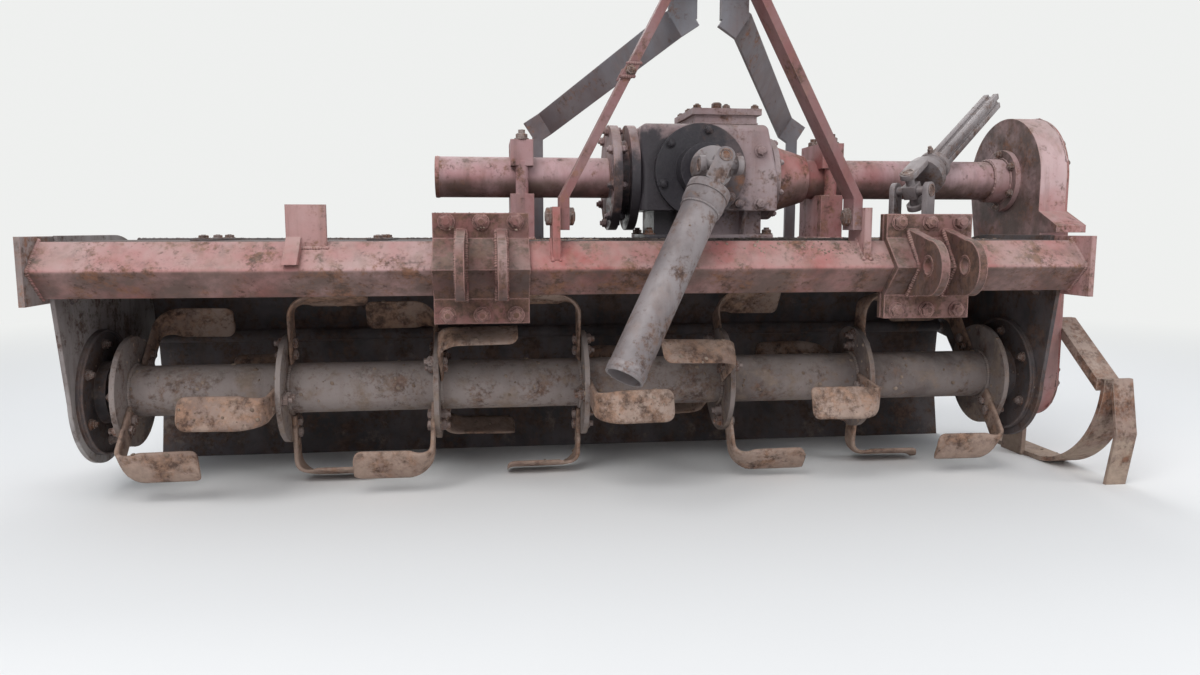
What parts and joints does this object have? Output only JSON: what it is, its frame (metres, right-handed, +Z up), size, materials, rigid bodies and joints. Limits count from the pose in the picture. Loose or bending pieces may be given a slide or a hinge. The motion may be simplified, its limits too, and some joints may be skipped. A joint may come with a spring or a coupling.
{
  "type": "rotavator",
  "caption": "Tractor-mounted rotary tiller with a square beam on edge, A-shaped mast, gearbox, side drive case, bladed rotor under a hood, hinged trailing board and hanging power shaft.",
  "frame": {"origin": "middle of the whole machine's box, on the ground under it", "axes": "+X along the rotor towards the side drive, +Y away from the tractor, +Z up"},
  "size_m": [2.092, 0.717, 1.085],
  "materials": {
    "red_paint": "faded, dusty",
    "dark_paint": "worn, soiled",
    "gearbox_iron": "faded, greasy",
    "rotor_steel": "dull, dusty",
    "blade_steel": "rusty, soiled",
    "shaft_steel": "rusty",
    "pin_steel": "worn",
    "skid_steel": "scuffed"
  },
  "bodies": {
    "root": {"main_beam": "red_paint", "end_plate_left": "red_paint", "end_plate_right": "red_paint", "side_plate_left": "dark_paint", "side_plate_right": "dark_paint", "hood": "dark_paint", "hood_rear_bar": "dark_paint", "board_hinge_rod": "pin_steel", "hitch_clamp_left": "red_paint", "hitch_clamp_left_back": "red_paint", "hitch_clamp_right": "red_paint", "hitch_clamp_right_back": "red_paint", "mast_lug_left": "red_paint", "mast_bar_left": "red_paint", "mast_pin_left": "pin_steel", "mast_lug_right": "red_paint", "mast_bar_right": "red_paint", "mast_pin_right": "pin_steel", "mast_head": "red_paint", "mast_stay_left": "red_paint", "mast_stay_right": "red_paint", "beam_bracket": "red_paint", "tube_left": "red_paint", "tube_right": "red_paint", "gearbox_housing": "gearbox_iron", "gearbox_cover": "red_paint", "gearbox_rings": "red_paint", "gearbox_flange_right": "red_paint", "input_cover": "gearbox_iron", "tube_clamp_left": "red_paint", "tube_clamp_right": "red_paint", "drive_case": "red_paint", "drive_case_cover": "red_paint", "case_flange": "red_paint", "bearing_left": "dark_paint", "bearing_right": "dark_paint", "bearing_cap_left": "red_paint", "skid_right": "skid_steel", "skid_strut": "skid_steel", "input_yoke": "shaft_steel", "loose_yoke_low": "shaft_steel", "loose_cross": "shaft_steel", "loose_yoke_high": "shaft_steel", "loose_bar": "shaft_steel"},
    "rotor": {"rotor_tube": "rotor_steel", "rotor_stub_left": "rotor_steel", "rotor_stub_right": "rotor_steel", "blades_left": "blade_steel", "blades_right": "blade_steel"},
    "board": {"trailing_board": "dark_paint"},
    "shaft_cross": {"pto_cross": "shaft_steel"},
    "power_shaft": {"pto_shaft": "shaft_steel"}
  },
  "joints": [
    {"name": "rotor_spin", "type": "hinge", "parent": "root", "child": "rotor", "pos_m": [-0.056, 0.04848, 0.2], "axis": [1, 0, 0], "continuous": true},
    {"name": "board_hinge", "type": "hinge", "parent": "root", "child": "board", "pos_m": [-0.056, 0.32348, 0.278], "axis": [1, 0, 0], "range_deg": [0, 60]},
    {"name": "shaft_lift", "type": "hinge", "parent": "root", "child": "shaft_cross", "pos_m": [0.18, -0.17152, 0.64], "axis": [-1, 0, 0], "range_deg": [0, 65]},
    {"name": "shaft_swing", "type": "hinge", "parent": "shaft_cross", "child": "power_shaft", "pos_m": [0.18, -0.17152, 0.64], "axis": [0, 0.9232, -0.3843], "range_deg": [-54, 6]}
  ]
}
